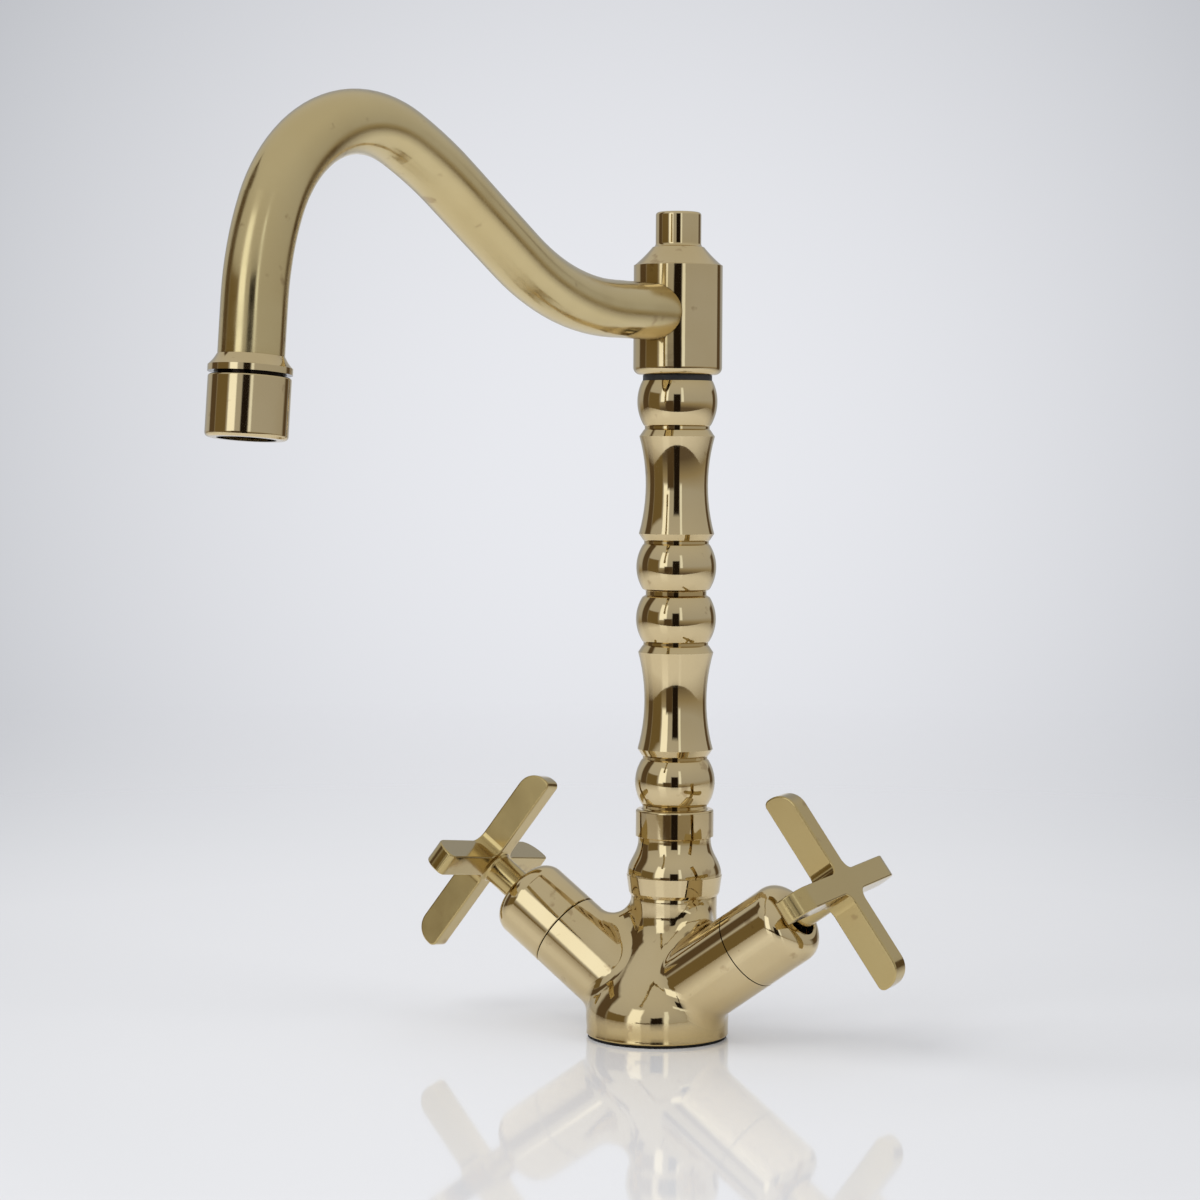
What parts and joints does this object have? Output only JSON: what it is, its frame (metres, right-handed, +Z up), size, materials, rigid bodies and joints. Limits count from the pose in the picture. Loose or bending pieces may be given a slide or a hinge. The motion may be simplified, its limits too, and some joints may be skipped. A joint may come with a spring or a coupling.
{
  "type": "single-hole kitchen faucet",
  "caption": "Polished brass deck mixer: slanted cross-handle valves on a hollow foot, a turned baluster column, a swivel head and a swan-neck spout with aerator.",
  "frame": {"origin": "centre of the foot's underside, on the worktop", "axes": "+Z up, -Y towards the spout and the user, hot arm towards -X, cold arm towards +X"},
  "size_m": [0.2092, 0.2931, 0.3513],
  "materials": {
    "polished_brass": "mirror polished, lacquered",
    "spout_brass": "polished tube with a faint drawn haze",
    "plain_brass": "turned, not polished",
    "steel": "bright stainless",
    "ceramic": "lapped white ceramic",
    "black_rubber": "smooth moulded rubber",
    "black_plastic": "plain black moulding"
  },
  "bodies": {
    "body": {"body_casting": "polished_brass", "foot_gasket": "black_rubber", "column_base": "polished_brass", "base_o_ring": "black_rubber", "turned_column": "polished_brass", "column_o_ring": "black_rubber", "swivel_nipple": "plain_brass", "nipple_o_ring": "black_rubber", "swivel_o_ring_lower": "black_rubber", "swivel_o_ring_upper": "black_rubber", "swivel_washer": "black_plastic", "head_retaining_clip": "steel", "hot_valve_housing": "plain_brass", "hot_seat_seal": "black_rubber", "hot_fixed_disc": "ceramic", "hot_shroud": "polished_brass", "cold_valve_housing": "plain_brass", "cold_seat_seal": "black_rubber", "cold_fixed_disc": "ceramic", "cold_shroud": "polished_brass"},
    "spout": {"spout_head": "polished_brass", "finial_cap": "polished_brass", "spout_tube": "spout_brass", "spout_nozzle": "polished_brass", "aerator_washer": "black_rubber", "aerator_housing": "polished_brass", "aerator_insert": "black_plastic", "aerator_screen": "steel"},
    "hot_handle": {"hot_cross_handle": "polished_brass", "hot_grub_screw": "steel", "hot_spindle": "plain_brass", "hot_spindle_o_ring": "black_rubber", "hot_spindle_clip": "steel", "hot_moving_disc": "ceramic"},
    "cold_handle": {"cold_cross_handle": "polished_brass", "cold_grub_screw": "steel", "cold_spindle": "plain_brass", "cold_spindle_o_ring": "black_rubber", "cold_spindle_clip": "steel", "cold_moving_disc": "ceramic"}
  },
  "joints": [
    {"name": "spout_swivel", "type": "hinge", "parent": "body", "child": "spout", "pos_m": [0, 0.0131, 0.2836], "axis": [0, 0, 1], "continuous": true},
    {"name": "hot_valve", "type": "hinge", "parent": "body", "child": "hot_handle", "pos_m": [0, -0.0015, 0.0094], "axis": [-0.8192, 0, 0.5736], "range_deg": [0, 90]},
    {"name": "cold_valve", "type": "hinge", "parent": "body", "child": "cold_handle", "pos_m": [0, -0.0015, 0.0094], "axis": [0.8192, 0, 0.5736], "range_deg": [-90, 0]}
  ]
}
